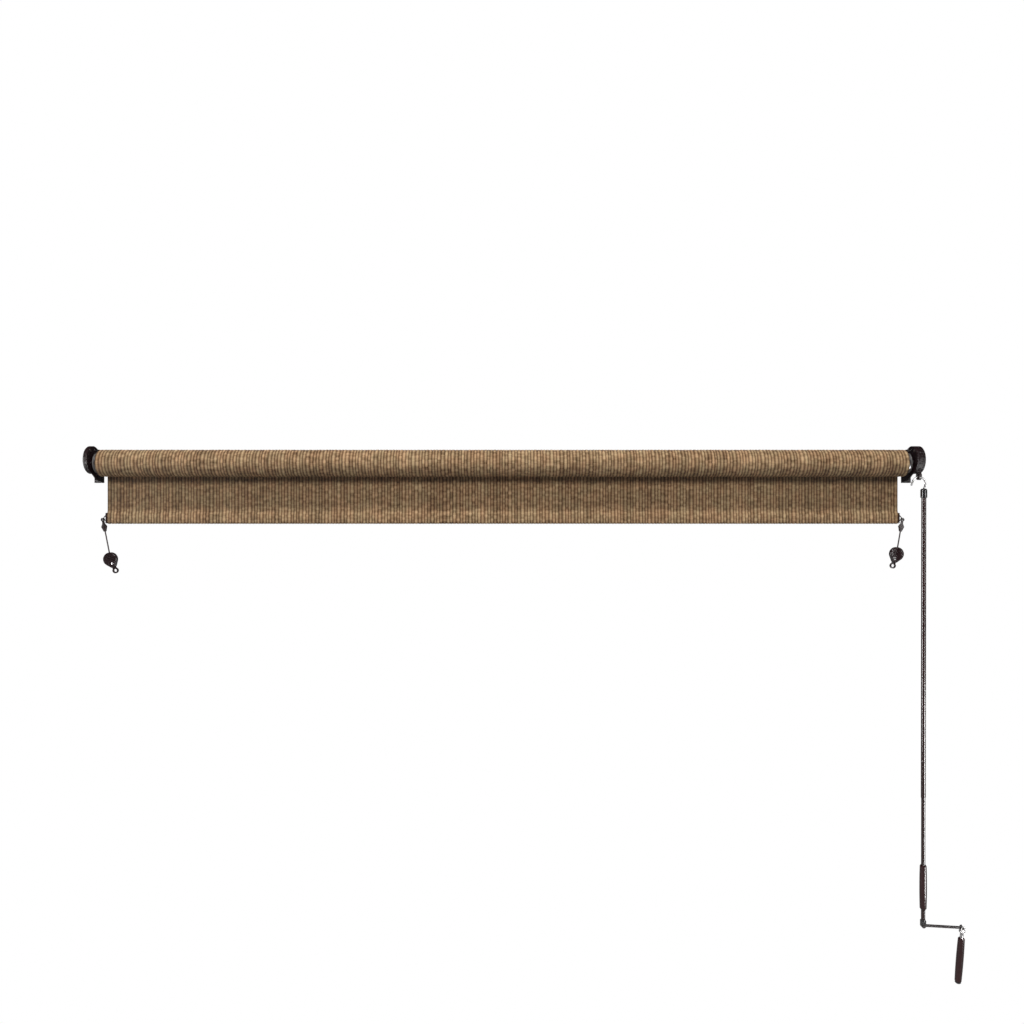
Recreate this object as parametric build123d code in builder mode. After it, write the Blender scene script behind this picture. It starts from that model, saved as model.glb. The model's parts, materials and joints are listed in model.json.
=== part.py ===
from build123d import *
from math import atan2, cos, degrees, pi, radians, sin, sqrt, tan
import os

# Outdoor roller shade with a crank gear, almost rolled up. Millimetres.
# X runs along the roller, Y points at the wall, Z is up. The wall is the plane y = 0,
# and the origin is midway between the four screw slots of the two wall brackets.

# Wall brackets
slot_drop = 45.0            # lower slot, below the roller's axis
slot_spacing = 75.0         # upper slot, above the lower one
slot_radius = 3.5
slot_length = 13.0
roller_out = 60.0           # roller's axis, out from the wall
plate = 3.5                 # thickness of the bracket plates
end_room = 17.5             # from the cloth's edge to the inner face of a bracket plate
flange_width = 30.0
flange_over = 12.0          # flange above the upper slot
flange_under = 13.0         # flange below the lower slot
bend = 2.5                  # outside radius of the plate's bend
arm_front = 24.0            # plate's arm back to the wall: its lower front corner
arm_front_down = 28.0
arm_low_back = 13.0         # its lower corner
arm_low_down = 51.0
arm_top_back = 14.0         # and its upper corner
arm_top_up = 43.0

# Gear case, and the cover that matches it on the left
case_radius = 42.0
case_forward = 10.0         # centre of the round case, in front of the roller's axis
case_up = 9.0               # and above it
case_depth = 22.0
cover_depth = 10.0
case_wall = 2.75
case_round = 4.0
lobe_radius = 7.0
screw_radius = 2.0
screw_head = 4.0
screw_length = 12.0
screw_head_thick = 2.0
upper_screw_back = 10.0     # screws, from the roller's axis
upper_screw_up = 39.0
front_screw_out = 31.0
front_screw_up = 36.0
lower_screw_back = 28.0
lower_screw_down = 26.0

# Roller and cloth
tube_radius = 28.5
tube_wall = 1.5
tube_over = 9.0             # tube beyond the cloth at each end
plug_depth = 40.0           # plug inside the tube
plug_flange = 3.0
plug_lip = 1.5              # flange beyond the tube's wall
pin_length = 50.0
pin_collar = 3.0
pin_collar_thick = 4.0
fabric_width = 2438.0
roll_radius = 41.0
cloth = 2.2
rib_depth = 1.1
bands = 52                  # broad ribs round the roll
ribs_per_band = 3           # finer ribs on the hanging cloth
turns_seen = 5              # turns that show at each end of the roll
turn_depth = 1.2
panel_length = 184.0        # cloth hanging below the roller's axis
hem_height = 34.0

# Bottom bar
bar_height = 28.0
bar_thick = 7.0
bar_wall = 1.2
bar_corner = 3.0
cap_flange = 4.0
cap_plug = 18.0
loop_wire = 1.5
loop_reach = 15.0           # loop beyond the end of the cloth
loop_rise = 13.0            # loop's tip above the cloth's lower edge
loop_width = 9.0            # loop's tip, measured towards the wall
loop_bend = 2.5
loop_seat = 1.0             # cap left beyond the loop's ends
loop_upper_inset = 4.0      # loop's ends, from the bar's edges
loop_lower_inset = 3.0
cap_rim = 0.5               # cap beyond the hem, towards the wall and away from it

# Crank gear
wheel_teeth = 14
wheel_pitch_radius = 24.0
worm_pitch_radius = 7.0
tooth_above = 1.8
tooth_below = 2.5
tooth_slack = 1.0           # how much thinner a tooth is than half a pitch
flank_angle = 20.0
wheel_face = 7.0
wheel_boss = 9.0
wheel_stub = 7.0
square_shaft = 12.0
shaft_length = 36.0
boss_show = 1.0             # wheel's boss beyond the plate
journal_top = 4.0
journal_bottom = 4.6
journal_length = 9.0
thread_turns = 2.5
thread_merge = 0.4          # thread sunk in the worm's core
eye_outer = 11.5
eye_hole = 5.5
eye_thick = 8.0
eye_chamfer = 2.0
eye_drop = 40.5             # centre of the eye, below the roller's axis
eye_merge = 3.0             # eye sunk on the worm's journal
bush_radius = 7.5
bush_length = 9.0
boss_drop = 27.5            # underside of the case's worm boss, below the roller's axis

# Crank wand
hook_wire = 2.5
hook_radius = 19.5
hook_turn_out = 160.0       # where the hook's free leg leaves its round
hook_turn_in = -30.0        # where its shank leaves the round
hook_bend = 8.0
hook_leg = 13.0
hook_tail = 14.0
hook_straight = 2.0         # between the round and the bend
ferrule_radius = 9.5
ferrule_length = 27.0
ferrule_slope = 2.5         # bevel at the ferrule's top
ferrule_slope_high = 3.5
ferrule_edge = 1.0
tube_below_hook = 3.0       # upper tube's end, below the hook's
upper_radius = 6.9
upper_wall = 0.9
upper_length = 911.0
lower_radius = 5.95
lower_wall = 1.0
lower_overlap = 30.0        # lower tube inside the upper one
lower_show = 203.0          # lower tube between the upper one and the middle grip
grip_radius = 10.5
middle_grip_length = 131.0
grip_edge = 2.5             # bevel at the ends of a grip
grip_barrel = 1.0           # how much a grip swells in the middle
grip_stop = 7.2             # radius of the beads that keep the middle grip in place
rod_show = 32.0             # lower tube below the middle grip
fork_cheek = 3.2
fork_round = 6.5
fork_neck = 18.0            # fork's pivot below the lower tube
fork_collar = 4.0
fork_stem = 22.0            # fork's stem inside the lower tube
fork_room = 1.2             # slot round the arm's end
arm_thick = 5.0
arm_height = 6.5
arm_boss = 6.0
arm_length = 118.0
arm_droop = 3.4             # degrees that the arm slopes down
rivet_radius = 2.5
rivet_head = 4.2
rivet_head_high = 1.5
handle_lean = 4.5           # degrees from plumb
handle_rod_radius = 5.0
handle_neck = 31.0          # rod between its pivot and the grip
handle_grip_length = 131.0
handle_end_radius = 8.5
handle_end_length = 4.0
handle_step = 2.0           # thinner end of the rod, for its cap
cap_edge = 1.0

# Hold-downs
left_lean = 11.0            # degrees that each one leans inward
right_lean = 9.7
left_cord_length = 80.0
right_cord_length = 63.0
hook_eye = 2.6
hook_rim = 5.6
hook_throat = 3.0
throat_turn = 25.0          # degrees
hook_shank = 6.0            # width of the shank between the eye and the head
shank_long = 12.5
hook_wide = 17.0
hook_shoulder = 22.5        # widest place, below the loop's tip
hook_long = 38.0
hook_thick = 5.0
hook_end = 1.2              # wall round the cord
cord_radius = 2.0
cord_socket = 7.0
block_radius = 21.0
block_thick = 16.0
block_groove = 3.0          # bevel round the block
block_toe = 9.5             # radius of the block's narrow end
toe_drop = 19.0             # and how far below the block's centre it is
left_block_turn = 13.0      # degrees that the block hangs aslant from its cord
right_block_turn = 8.0
band_width = 3.0            # slanted channels across the block's faces
band_deep = 1.6
band_apart = 5.2
band_rise = 3.1             # lower channel, above the block's centre
band_turn = 47.0            # degrees
peep_radius = 2.6           # small hole above the ring
peep_side = 3.0
peep_drop = 15.5
ring_outer = 8.8
ring_hole = 5.0
ring_thick = 6.0
ring_drop = 38.0            # ring's centre below the block's centre

# Clearances
running = 0.05              # shafts and sleeves that turn
seat = 0.02                 # fixed pieces that fit in each other
cavity_slack = 0.45         # round the wheel and the worm
rest_gap = 0.3              # pieces that lie against each other

# Places worked out from the sizes above
axis_y = -roller_out
axis_z = slot_drop - slot_spacing / 2
half_cloth = fabric_width / 2
plate_x = half_cloth + end_room
slot_x = plate_x + flange_width / 2
roller_axis = Axis((0, axis_y, axis_z), (1, 0, 0))
roller_plane = Plane(origin=(0, axis_y, axis_z), x_dir=(1, 0, 0), z_dir=(0, -1, 0))
cover_x = plate_x + plate
case_y = axis_y - case_forward
case_z = axis_z + case_up
wheel_x = cover_x + (case_depth - case_wall) / 2
worm_y = axis_y - wheel_pitch_radius - worm_pitch_radius
worm_pitch = 2 * pi * wheel_pitch_radius / wheel_teeth
worm_outer = worm_pitch_radius + tooth_above
worm_core = worm_pitch_radius - tooth_below
thread_half = (worm_pitch / 2 - tooth_slack) / 2
thread_low_radius = tooth_below + thread_merge
thread_root = thread_half + thread_low_radius * tan(radians(flank_angle))
cavity_top = thread_turns * worm_pitch / 2 + thread_root + cavity_slack
screw_places = [
    (axis_y + upper_screw_back, axis_z + upper_screw_up),
    (axis_y - front_screw_out, axis_z + front_screw_up),
    (axis_y + lower_screw_back, axis_z - lower_screw_down),
]
flange_top = axis_z - slot_drop + slot_spacing + flange_over
flange_bottom = axis_z - slot_drop - flange_under
panel_y = axis_y + roll_radius + rest_gap + cloth / 2
hem_low = axis_z - panel_length
hem_high = hem_low + hem_height
bar_z = hem_low + hem_height / 2
eye_z = axis_z - eye_drop
hook_top = eye_z - eye_hole + rest_gap + hook_wire


def upright(x, y):
    """A plane facing the viewer whose second axis is the plumb line at x, y."""
    return Plane(origin=(x, y, 0), x_dir=(1, 0, 0), z_dir=(0, -1, 0))


def save(piece, name):
    """Name a finished piece and write it."""
    piece.part.label = name
    export_step(piece.part, "parts/" + name + ".step")


def draw_case_outline():
    """Round case with a lobe for each screw, in Y and Z."""
    with Locations((case_y, case_z)):
        Circle(case_radius)
    for screw_y, screw_z in screw_places:
        reach_y = screw_y - case_y
        reach_z = screw_z - case_z
        with Locations((case_y + reach_y / 2, case_z + reach_z / 2)):
            turn = degrees(atan2(reach_z, reach_y))
            SlotCenterToCenter(sqrt(reach_y**2 + reach_z**2), 2 * lobe_radius, rotation=turn)


def round_case_corners(sketch):
    """Soften the corners where the lobes leave the round case."""
    centre = Vector(case_y, case_z)
    corners = sketch.vertices().filter_by(
        lambda point: abs((Vector(point.X, point.Y) - centre).length - case_radius) < 0.01
    )
    fillet(corners, lobe_radius / 2)


def draw_plate_outline():
    """Round front and the arm back to the wall, in Y and Z."""
    draw_case_outline()
    Polygon(
        (axis_y - arm_front, axis_z - arm_front_down),
        (axis_y + arm_low_back, axis_z - arm_low_down),
        (0, flange_bottom),
        (0, flange_top),
        (axis_y + arm_top_back, axis_z + arm_top_up),
        align=None,
    )


def make_bracket(side, name, bore):
    """Pressed plate with a flange on the wall."""
    with BuildPart() as bracket:
        with BuildSketch(Plane.YZ.offset(side * plate_x)):
            draw_plate_outline()
        extrude(amount=side * plate)
        with BuildSketch(Plane.XZ):
            with Locations((side * slot_x, (flange_top + flange_bottom) / 2)):
                Rectangle(flange_width, flange_top - flange_bottom)
        extrude(amount=plate)
        corner = bracket.edges().filter_by(Axis.Z).group_by(Axis.Y)[-1]
        fillet(corner.sort_by(lambda edge: abs(edge.center().X))[0], bend)
        with BuildSketch(Plane.XZ.offset(-bend)):
            for row in (0, 1):
                with Locations((side * slot_x, axis_z - slot_drop + row * slot_spacing)):
                    SlotOverall(slot_length, 2 * slot_radius)
        extrude(amount=2 * bend + plate, mode=Mode.SUBTRACT)
        with BuildSketch(Plane.YZ.offset(side * (plate_x - 1))):
            with Locations((axis_y, axis_z)):
                Circle(bore)
            with Locations(*screw_places):
                Circle(screw_radius + seat)
        extrude(amount=side * (plate + 2), mode=Mode.SUBTRACT)
    save(bracket, name)


make_bracket(-1, "left_bracket", wheel_stub + seat)
make_bracket(1, "right_bracket", wheel_boss + running)

# Left cover: a shallow moulded cup screwed to the plate
with BuildPart() as left_cover:
    with BuildSketch(Plane.YZ.offset(-cover_x)) as cover_outline:
        draw_case_outline()
        round_case_corners(cover_outline)
    extrude(amount=-cover_depth)
    fillet(left_cover.faces().sort_by(Axis.X)[0].edges(), case_round)
    with BuildSketch(Plane.YZ.offset(-cover_x)):
        with Locations((case_y, case_z)):
            Circle(case_radius - 2 * case_wall)
        with Locations(*screw_places):
            Circle(lobe_radius, mode=Mode.SUBTRACT)
    extrude(amount=-(cover_depth - case_wall), mode=Mode.SUBTRACT)
    with BuildSketch(Plane.YZ.offset(-cover_x)):
        with Locations(*screw_places):
            Circle(screw_radius + seat)
    extrude(amount=-(screw_length - plate), mode=Mode.SUBTRACT)
save(left_cover, "left_cover")

# Gear case: a deeper cup with room for the wheel and the worm
with BuildPart() as gear_case:
    with BuildSketch(Plane.YZ.offset(cover_x)) as case_outline:
        draw_case_outline()
        round_case_corners(case_outline)
    extrude(amount=case_depth)
    fillet(gear_case.faces().sort_by(Axis.X)[-1].edges(), case_round)
    with BuildSketch(Plane.XY.offset(axis_z - boss_drop)):
        with Locations((wheel_x, worm_y)):
            Circle(worm_outer + cavity_slack)
    extrude(amount=bush_length + case_wall)
    with BuildSketch(Plane.YZ.offset(cover_x)):
        with Locations((axis_y, axis_z)):
            Circle(wheel_pitch_radius + tooth_above + 2 * cavity_slack)
    extrude(amount=wheel_x - cover_x + wheel_face / 2 + cavity_slack, mode=Mode.SUBTRACT)
    with BuildSketch(Plane.YZ.offset(cover_x)):
        with Locations((axis_y, axis_z)):
            Circle(wheel_stub + running)
    extrude(amount=case_depth - case_wall / 2, mode=Mode.SUBTRACT)
    with BuildSketch(Plane.XY.offset(axis_z - boss_drop + bush_length)):
        with Locations((wheel_x, worm_y)):
            Circle(worm_outer + cavity_slack)
    extrude(amount=cavity_top + boss_drop - bush_length, mode=Mode.SUBTRACT)
    with BuildSketch(Plane.XY.offset(axis_z - boss_drop)):
        with Locations((wheel_x, worm_y)):
            Circle(bush_radius + seat)
    extrude(amount=bush_length, mode=Mode.SUBTRACT)
    with BuildSketch(Plane.XY.offset(axis_z - boss_drop)):
        with Locations((wheel_x, worm_y)):
            Circle(bush_radius)
    extrude(amount=-bush_radius, mode=Mode.SUBTRACT)
    with BuildSketch(Plane.XY.offset(axis_z + cavity_top)):
        with Locations((wheel_x, worm_y)):
            Circle(journal_top + running)
    extrude(amount=journal_length + rest_gap, mode=Mode.SUBTRACT)
    with BuildSketch(Plane.YZ.offset(cover_x)):
        with Locations(*screw_places):
            Circle(screw_radius + seat)
    extrude(amount=screw_length - plate, mode=Mode.SUBTRACT)
save(gear_case, "gear_case")

# Bush that the worm's lower end turns in
with BuildPart() as worm_bush:
    with BuildSketch(Plane.XY.offset(axis_z - boss_drop)):
        with Locations((wheel_x, worm_y)):
            Circle(bush_radius)
            Circle(journal_bottom + running, mode=Mode.SUBTRACT)
    extrude(amount=bush_length)
save(worm_bush, "worm_bush")

# Screws that hold the case and the cover on their plates
with BuildPart() as case_screws:
    for side in (-1, 1):
        with BuildSketch(Plane.YZ.offset(side * plate_x)):
            with Locations(*screw_places):
                Circle(screw_radius)
        extrude(amount=side * screw_length)
        with BuildSketch(Plane.YZ.offset(side * plate_x)):
            with Locations(*screw_places):
                Circle(screw_head)
        extrude(amount=-side * screw_head_thick)
save(case_screws, "case_screws")

# Pin that carries the roller's left end
with BuildPart() as idler_pin:
    with BuildSketch(Plane.YZ.offset(-cover_x)):
        with Locations((axis_y, axis_z)):
            Circle(wheel_stub)
    extrude(amount=pin_length)
    with BuildSketch(Plane.YZ.offset(-plate_x)):
        with Locations((axis_y, axis_z)):
            Circle(wheel_stub + pin_collar)
    extrude(amount=pin_collar_thick)
save(idler_pin, "idler_pin")

# Roller tube
with BuildPart() as roller_tube:
    with BuildSketch(Plane.YZ):
        with Locations((axis_y, axis_z)):
            Circle(tube_radius)
            Circle(tube_radius - tube_wall, mode=Mode.SUBTRACT)
    extrude(amount=half_cloth + tube_over, both=True)
save(roller_tube, "roller_tube")


def make_plug(side, name, square):
    """Moulded plug in the end of the tube, with a socket for its shaft."""
    with BuildPart() as plug:
        with BuildSketch(Plane.YZ.offset(side * (half_cloth + tube_over))):
            with Locations((axis_y, axis_z)):
                Circle(tube_radius - tube_wall - seat)
        extrude(amount=-side * plug_depth)
        with BuildSketch(Plane.YZ.offset(side * (half_cloth + tube_over))):
            with Locations((axis_y, axis_z)):
                Circle(tube_radius + plug_lip)
        extrude(amount=side * plug_flange)
        with BuildSketch(Plane.YZ.offset(side * (half_cloth + tube_over + plug_flange))):
            with Locations((axis_y, axis_z)):
                if square:
                    Rectangle(square_shaft + 2 * seat, square_shaft + 2 * seat)
                else:
                    Circle(wheel_stub + running)
        extrude(amount=-side * (plug_depth + 2 * plug_flange), mode=Mode.SUBTRACT)
    save(plug, name)


make_plug(-1, "idler_plug", False)
make_plug(1, "drive_plug", True)

# Cloth on the roller, one wound solid with its ribs and the turns at its ends
turn_width = (roll_radius - rib_depth - tube_radius - seat) / turns_seen
end_steps = []
for turn in range(turns_seen):
    radius = tube_radius + seat + turn * turn_width
    end_steps.append((half_cloth, radius))
    end_steps.append((half_cloth - turn_depth, radius + turn_width / 2))
rib_width = fabric_width / bands
crest = []
for band in range(bands):
    left = -half_cloth + band * rib_width
    crest.append((left, roll_radius - rib_depth))
    crest.append((left + rib_width / 2, roll_radius))
crest.append((half_cloth, roll_radius - rib_depth))
with BuildPart() as fabric_roll:
    with BuildSketch(roller_plane):
        left_end = [(-x, radius) for x, radius in end_steps]
        Polygon(*left_end, *crest, *reversed(end_steps), align=None)
    revolve(axis=roller_axis)
save(fabric_roll, "fabric_roll")


def rib_outline(back, front):
    """Sheet seen from above: a flat back and ribs on the front."""
    ribs = bands * ribs_per_band
    width = fabric_width / ribs
    points = [(half_cloth, back), (-half_cloth, back)]
    for rib in range(ribs):
        points.append((-half_cloth + rib * width, front + rib_depth / 2))
        points.append((-half_cloth + (rib + 0.5) * width, front))
    points.append((half_cloth, front + rib_depth / 2))
    return points


# Hanging cloth, with the hem's pocket round the bottom bar
hem_half = bar_thick / 2 + seat + cloth
with BuildPart() as fabric_panel:
    with BuildSketch(Plane.XY.offset(hem_high - cloth)):
        Polygon(*rib_outline(panel_y + cloth / 2, panel_y - cloth / 2), align=None)
    extrude(amount=axis_z - hem_high + cloth)
    with BuildSketch(Plane.XY.offset(hem_low)):
        Polygon(*rib_outline(panel_y + hem_half, panel_y - hem_half), align=None)
    extrude(amount=hem_height)
    with BuildSketch(Plane.YZ.offset(-half_cloth)):
        with Locations((panel_y, bar_z)):
            RectangleRounded(bar_thick + 2 * seat, bar_height + 2 * seat, bar_corner)
    extrude(amount=fabric_width, mode=Mode.SUBTRACT)
save(fabric_panel, "fabric_panel")

# Bottom bar, a flat tube
with BuildPart() as bottom_bar:
    with BuildSketch(Plane.YZ.offset(-half_cloth)):
        with Locations((panel_y, bar_z)):
            RectangleRounded(bar_thick, bar_height, bar_corner)
            inner_thick = bar_thick - 2 * bar_wall
            inner_height = bar_height - 2 * bar_wall
            RectangleRounded(inner_thick, inner_height, bar_corner - bar_wall, mode=Mode.SUBTRACT)
    extrude(amount=fabric_width)
save(bottom_bar, "bottom_bar")


def make_bar_end(side, word):
    """Cap on the bar's end and the wire loop that it holds."""
    near = panel_y - loop_width / 2
    far = panel_y + loop_width / 2
    root_x = half_cloth + cap_flange - loop_seat
    tip_x = half_cloth + loop_reach
    tip_z = hem_low + loop_rise
    route = [
        (side * (root_x - loop_seat), near, bar_z + bar_height / 2 - loop_upper_inset),
        (side * tip_x, near, tip_z),
        (side * tip_x, far, tip_z),
        (side * (root_x - loop_seat), far, bar_z - bar_height / 2 + loop_lower_inset),
    ]
    with BuildPart() as loop:
        with BuildLine() as wire:
            FilletPolyline(*route, radius=loop_bend)
        with BuildSketch(Plane(origin=wire.line @ 0, z_dir=wire.line % 0)):
            Circle(loop_wire)
        sweep()
    save(loop, "bar_loop_" + word)
    with BuildPart() as cap:
        with BuildSketch(Plane.YZ.offset(side * half_cloth)):
            with Locations((panel_y, bar_z)):
                cap_thick = bar_thick + 2 * (cloth + cap_rim)
                RectangleRounded(cap_thick, bar_height + 2 * cloth, bar_corner)
        extrude(amount=side * cap_flange)
        with BuildSketch(Plane.YZ.offset(side * half_cloth)):
            with Locations((panel_y, bar_z)):
                plug_gap = 2 * (bar_wall + seat)
                RectangleRounded(bar_thick - plug_gap, bar_height - plug_gap, bar_corner - bar_wall)
        extrude(amount=-side * cap_plug)
        add(loop.part, mode=Mode.SUBTRACT)
    save(cap, "bar_cap_" + word)


make_bar_end(-1, "left")
make_bar_end(1, "right")


def wheel_outline(turn):
    """Toothed outline of the wheel, turned by an angle in radians."""
    tan_flank = tan(radians(flank_angle))
    tip_radius = wheel_pitch_radius + tooth_above
    root_radius = wheel_pitch_radius - tooth_below
    half_tip = (thread_half - tooth_above * tan_flank) / tip_radius
    half_root = (thread_half + tooth_below * tan_flank) / root_radius
    points = []
    for tooth in range(wheel_teeth):
        middle = turn + pi + (tooth + 0.5) * 2 * pi / wheel_teeth
        for radius, offset in (
            (root_radius, -half_root),
            (tip_radius, -half_tip),
            (tip_radius, half_tip),
            (root_radius, half_root),
        ):
            angle = middle + offset
            points.append((axis_y + radius * cos(angle), axis_z + radius * sin(angle)))
    return points


# Worm wheel: slanted teeth, a boss through the plate and the square drive shaft
slant = worm_pitch / (2 * pi * worm_pitch_radius)
face_turn = wheel_face / 2 * slant / wheel_pitch_radius
with BuildPart() as worm_wheel:
    with BuildSketch(Plane.YZ.offset(wheel_x - wheel_face / 2)):
        Polygon(*wheel_outline(-face_turn), align=None)
    with BuildSketch(Plane.YZ.offset(wheel_x + wheel_face / 2)):
        Polygon(*wheel_outline(face_turn), align=None)
    loft(ruled=True)
    with BuildSketch(Plane.YZ.offset(wheel_x)):
        with Locations((axis_y, axis_z)):
            Circle(wheel_stub)
    extrude(amount=cover_x + case_depth - case_wall / 2 - rest_gap - wheel_x)
    with BuildSketch(Plane.YZ.offset(wheel_x)):
        with Locations((axis_y, axis_z)):
            Circle(wheel_boss)
    extrude(amount=plate_x - boss_show - wheel_x)
    with BuildSketch(Plane.YZ.offset(plate_x)):
        with Locations((axis_y, axis_z)):
            Rectangle(square_shaft, square_shaft)
    extrude(amount=-shaft_length)
save(worm_wheel, "worm_wheel")

# Worm with its two journals and the eye for the wand
with BuildPart() as crank_eye:
    thread_low = axis_z - thread_turns * worm_pitch / 2
    with BuildLine() as thread_line:
        Helix(
            worm_pitch,
            thread_turns * worm_pitch,
            worm_pitch_radius,
            center=(wheel_x, worm_y, thread_low),
        )
    start = thread_line.line @ 0
    tan_thread = tan(radians(flank_angle))
    with BuildSketch(Plane(origin=start, x_dir=(1, 0, 0), z_dir=thread_line.line % 0)):
        Polygon(
            (-thread_low_radius, -thread_root),
            (tooth_above, -thread_half + tooth_above * tan_thread),
            (tooth_above, thread_half - tooth_above * tan_thread),
            (-thread_low_radius, thread_root),
            align=None,
        )
    sweep(is_frenet=True)
    worm_low = axis_z - boss_drop + bush_length
    with BuildSketch(upright(wheel_x, worm_y)):
        Polygon(
            (0, eye_z + eye_outer - eye_merge),
            (journal_bottom, eye_z + eye_outer - eye_merge),
            (journal_bottom, worm_low + rest_gap),
            (worm_core, worm_low + rest_gap),
            (worm_core, axis_z + cavity_top - rest_gap),
            (journal_top, axis_z + cavity_top - rest_gap),
            (journal_top, axis_z + cavity_top + journal_length),
            (0, axis_z + cavity_top + journal_length),
            align=None,
        )
    revolve(axis=Axis((wheel_x, worm_y, 0), (0, 0, 1)))
    with BuildSketch(Plane.YZ.offset(wheel_x)):
        with Locations((worm_y, eye_z)):
            Circle(eye_outer)
    extrude(amount=eye_thick / 2, both=True)
    with BuildSketch(Plane.YZ.offset(wheel_x)):
        with Locations((worm_y, eye_z)):
            Circle(eye_hole)
    extrude(amount=eye_thick, both=True, mode=Mode.SUBTRACT)
    hole_edges = crank_eye.edges().filter_by(GeomType.CIRCLE).filter_by(
        lambda edge: abs(edge.radius - eye_hole) < 0.01
    )
    chamfer(hole_edges, eye_chamfer)
save(crank_eye, "crank_eye")

# Wand, hanging from the eye
round_z = hook_top - hook_radius
shank_x = hook_radius * cos(radians(hook_turn_in))
bend_turn = -hook_turn_in
bend_side = hook_bend * (1 - cos(radians(bend_turn)))
wand_x = wheel_x + shank_x - hook_straight * sin(radians(bend_turn)) - bend_side
ferrule_top = (
    round_z
    + hook_radius * sin(radians(hook_turn_in))
    - hook_straight * cos(radians(bend_turn))
    - hook_bend * sin(radians(bend_turn))
)
hook_plane = Plane(origin=(wheel_x, worm_y, round_z), x_dir=(1, 0, 0), z_dir=(0, -1, 0))
with BuildPart() as wand_hook:
    with BuildLine(hook_plane) as hook_line:
        bow = CenterArc((0, 0), hook_radius, hook_turn_out, hook_turn_in - hook_turn_out)
        leg_way = (-sin(radians(hook_turn_out)), cos(radians(hook_turn_out)))
        tip = (
            hook_radius * cos(radians(hook_turn_out)) + hook_leg * leg_way[0],
            hook_radius * sin(radians(hook_turn_out)) + hook_leg * leg_way[1],
        )
        Line(tip, bow @ 0)
        down = (-sin(radians(bend_turn)), -cos(radians(bend_turn)))
        shank_top = (
            hook_radius * cos(radians(hook_turn_in)) + hook_straight * down[0],
            hook_radius * sin(radians(hook_turn_in)) + hook_straight * down[1],
        )
        Line(bow @ 1, shank_top)
        turn = JernArc(shank_top, down, hook_bend, bend_turn)
        Line(turn @ 1, (turn @ 1) - Vector(0, hook_tail))
    with BuildSketch(Plane(origin=hook_line.line @ 0, z_dir=hook_line.line % 0)):
        Circle(hook_wire)
    sweep()
save(wand_hook, "wand_hook")

# Ferrule that joins the hook and the upper tube
tube_top = ferrule_top - hook_tail - tube_below_hook
wand_axis = Axis((wand_x, worm_y, 0), (0, 0, 1))
with BuildPart() as wand_ferrule:
    ferrule_low = ferrule_top - ferrule_length
    with BuildSketch(upright(wand_x, worm_y)):
        Polygon(
            (hook_wire + seat, ferrule_top),
            (ferrule_radius - ferrule_slope, ferrule_top),
            (ferrule_radius, ferrule_top - ferrule_slope_high),
            (ferrule_radius, ferrule_low + ferrule_edge),
            (ferrule_radius - ferrule_edge, ferrule_low),
            (upper_radius + seat, ferrule_low),
            (upper_radius + seat, tube_top + seat),
            (hook_wire + seat, tube_top + seat),
            align=None,
        )
    revolve(axis=wand_axis)
save(wand_ferrule, "wand_ferrule")

# Upper and lower tubes, one pressed into the other
upper_low = tube_top - upper_length
with BuildPart() as wand_upper_tube:
    with BuildSketch(Plane.XY.offset(upper_low)):
        with Locations((wand_x, worm_y)):
            Circle(upper_radius)
            Circle(upper_radius - upper_wall, mode=Mode.SUBTRACT)
    extrude(amount=upper_length)
save(wand_upper_tube, "wand_upper_tube")

grip_top = upper_low - lower_show
grip_low = grip_top - middle_grip_length
lower_low = grip_low - rod_show
bead = grip_stop - lower_radius
with BuildPart() as wand_lower_tube:
    inner = lower_radius - lower_wall
    with BuildSketch(upright(wand_x, worm_y)):
        Polygon(
            (inner, upper_low + lower_overlap),
            (lower_radius, upper_low + lower_overlap),
            (lower_radius, grip_top + rest_gap + 2 * bead),
            (grip_stop, grip_top + rest_gap + bead),
            (lower_radius, grip_top + rest_gap),
            (lower_radius, grip_low - rest_gap),
            (grip_stop, grip_low - rest_gap - bead),
            (lower_radius, grip_low - rest_gap - 2 * bead),
            (lower_radius, lower_low),
            (inner, lower_low),
            align=None,
        )
    revolve(axis=wand_axis)
save(wand_lower_tube, "wand_lower_tube")


def draw_grip(low, high, bore):
    """Half section of a turned grip with a soft barrel shape."""
    middle = (low + high) / 2
    with BuildLine() as section:
        low_rim = (grip_radius - grip_barrel, low + grip_edge)
        high_rim = (grip_radius - grip_barrel, high - grip_edge)
        Polyline((bore, low), (grip_radius - grip_edge, low), low_rim)
        ThreePointArc(low_rim, (grip_radius, middle), high_rim)
        Polyline(high_rim, (grip_radius - grip_edge, high), (bore, high), (bore, low))
    make_face(section.edges())


# Grip for the upper hand, free to turn on the lower tube
with BuildPart() as middle_grip:
    with BuildSketch(upright(wand_x, worm_y)):
        draw_grip(grip_low, grip_top, lower_radius + running)
    revolve(axis=wand_axis)
save(middle_grip, "middle_grip")

elbow_z = lower_low - fork_neck
arm_plane = Plane(
    origin=(wand_x, worm_y, elbow_z),
    x_dir=(cos(radians(arm_droop)), 0, -sin(radians(arm_droop))),
    z_dir=(0, -1, 0),
)
arm_end = arm_plane.from_local_coords(Vector(arm_length, 0, 0))
handle_plane = Plane(
    origin=arm_end,
    x_dir=(cos(radians(handle_lean)), 0, -sin(radians(handle_lean))),
    z_dir=(0, -1, 0),
)
handle_axis = Axis(arm_end, handle_plane.y_dir)
fork_slot = arm_thick / 2 + rest_gap
fork_half = fork_slot + fork_cheek


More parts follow.
